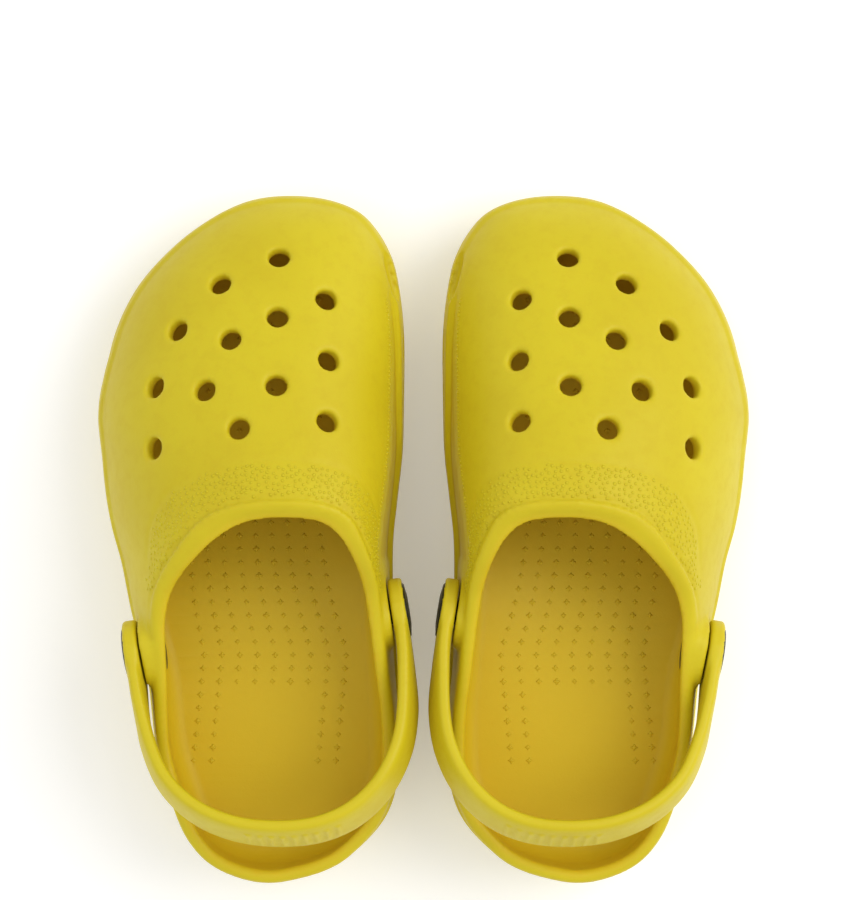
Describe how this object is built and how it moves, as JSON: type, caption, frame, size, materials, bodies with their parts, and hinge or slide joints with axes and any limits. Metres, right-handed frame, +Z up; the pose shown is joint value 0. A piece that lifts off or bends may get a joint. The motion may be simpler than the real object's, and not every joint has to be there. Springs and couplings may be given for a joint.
{
  "type": "garden clogs",
  "caption": "Vented foam garden clogs, left and right, with rounded toes, a raised collar and a heel strap that swings on snap rivets.",
  "frame": {"origin": "on the floor, midway between the two clogs and midway along them", "axes": "+Y towards the toes, +Z up, +X to the wearer's right"},
  "size_m": [0.1924, 0.2, 0.0703],
  "materials": {
    "foam": "satin yellow closed-cell foam",
    "rivet": "satin black moulded plastic"
  },
  "bodies": {
    "left_clog": {"left_clog_shell": "foam", "left_outer_rivet_stud": "rivet", "left_outer_rivet_socket": "rivet", "left_inner_rivet_stud": "rivet", "left_inner_rivet_socket": "rivet"},
    "left_strap": {"left_heel_strap": "foam"},
    "right_clog": {"right_clog_shell": "foam", "right_outer_rivet_stud": "rivet", "right_outer_rivet_socket": "rivet", "right_inner_rivet_stud": "rivet", "right_inner_rivet_socket": "rivet"},
    "right_strap": {"right_heel_strap": "foam"}
  },
  "joints": [
    {"name": "left_strap_swing", "type": "hinge", "parent": "left_clog", "child": "left_strap", "pos_m": [-0.04515, -0.027, 0.039], "axis": [-0.9876, -0.1567, 0], "range_deg": [0, 90]},
    {"name": "right_strap_swing", "type": "hinge", "parent": "right_clog", "child": "right_strap", "pos_m": [0.04515, -0.027, 0.039], "axis": [-0.9876, 0.1567, 0], "range_deg": [0, 90]},
    {"name": "right_clog_lift", "type": "slide", "parent": "left_clog", "child": "right_clog", "axis": [0, 0, 1], "range_m": [0, 0.12]}
  ]
}
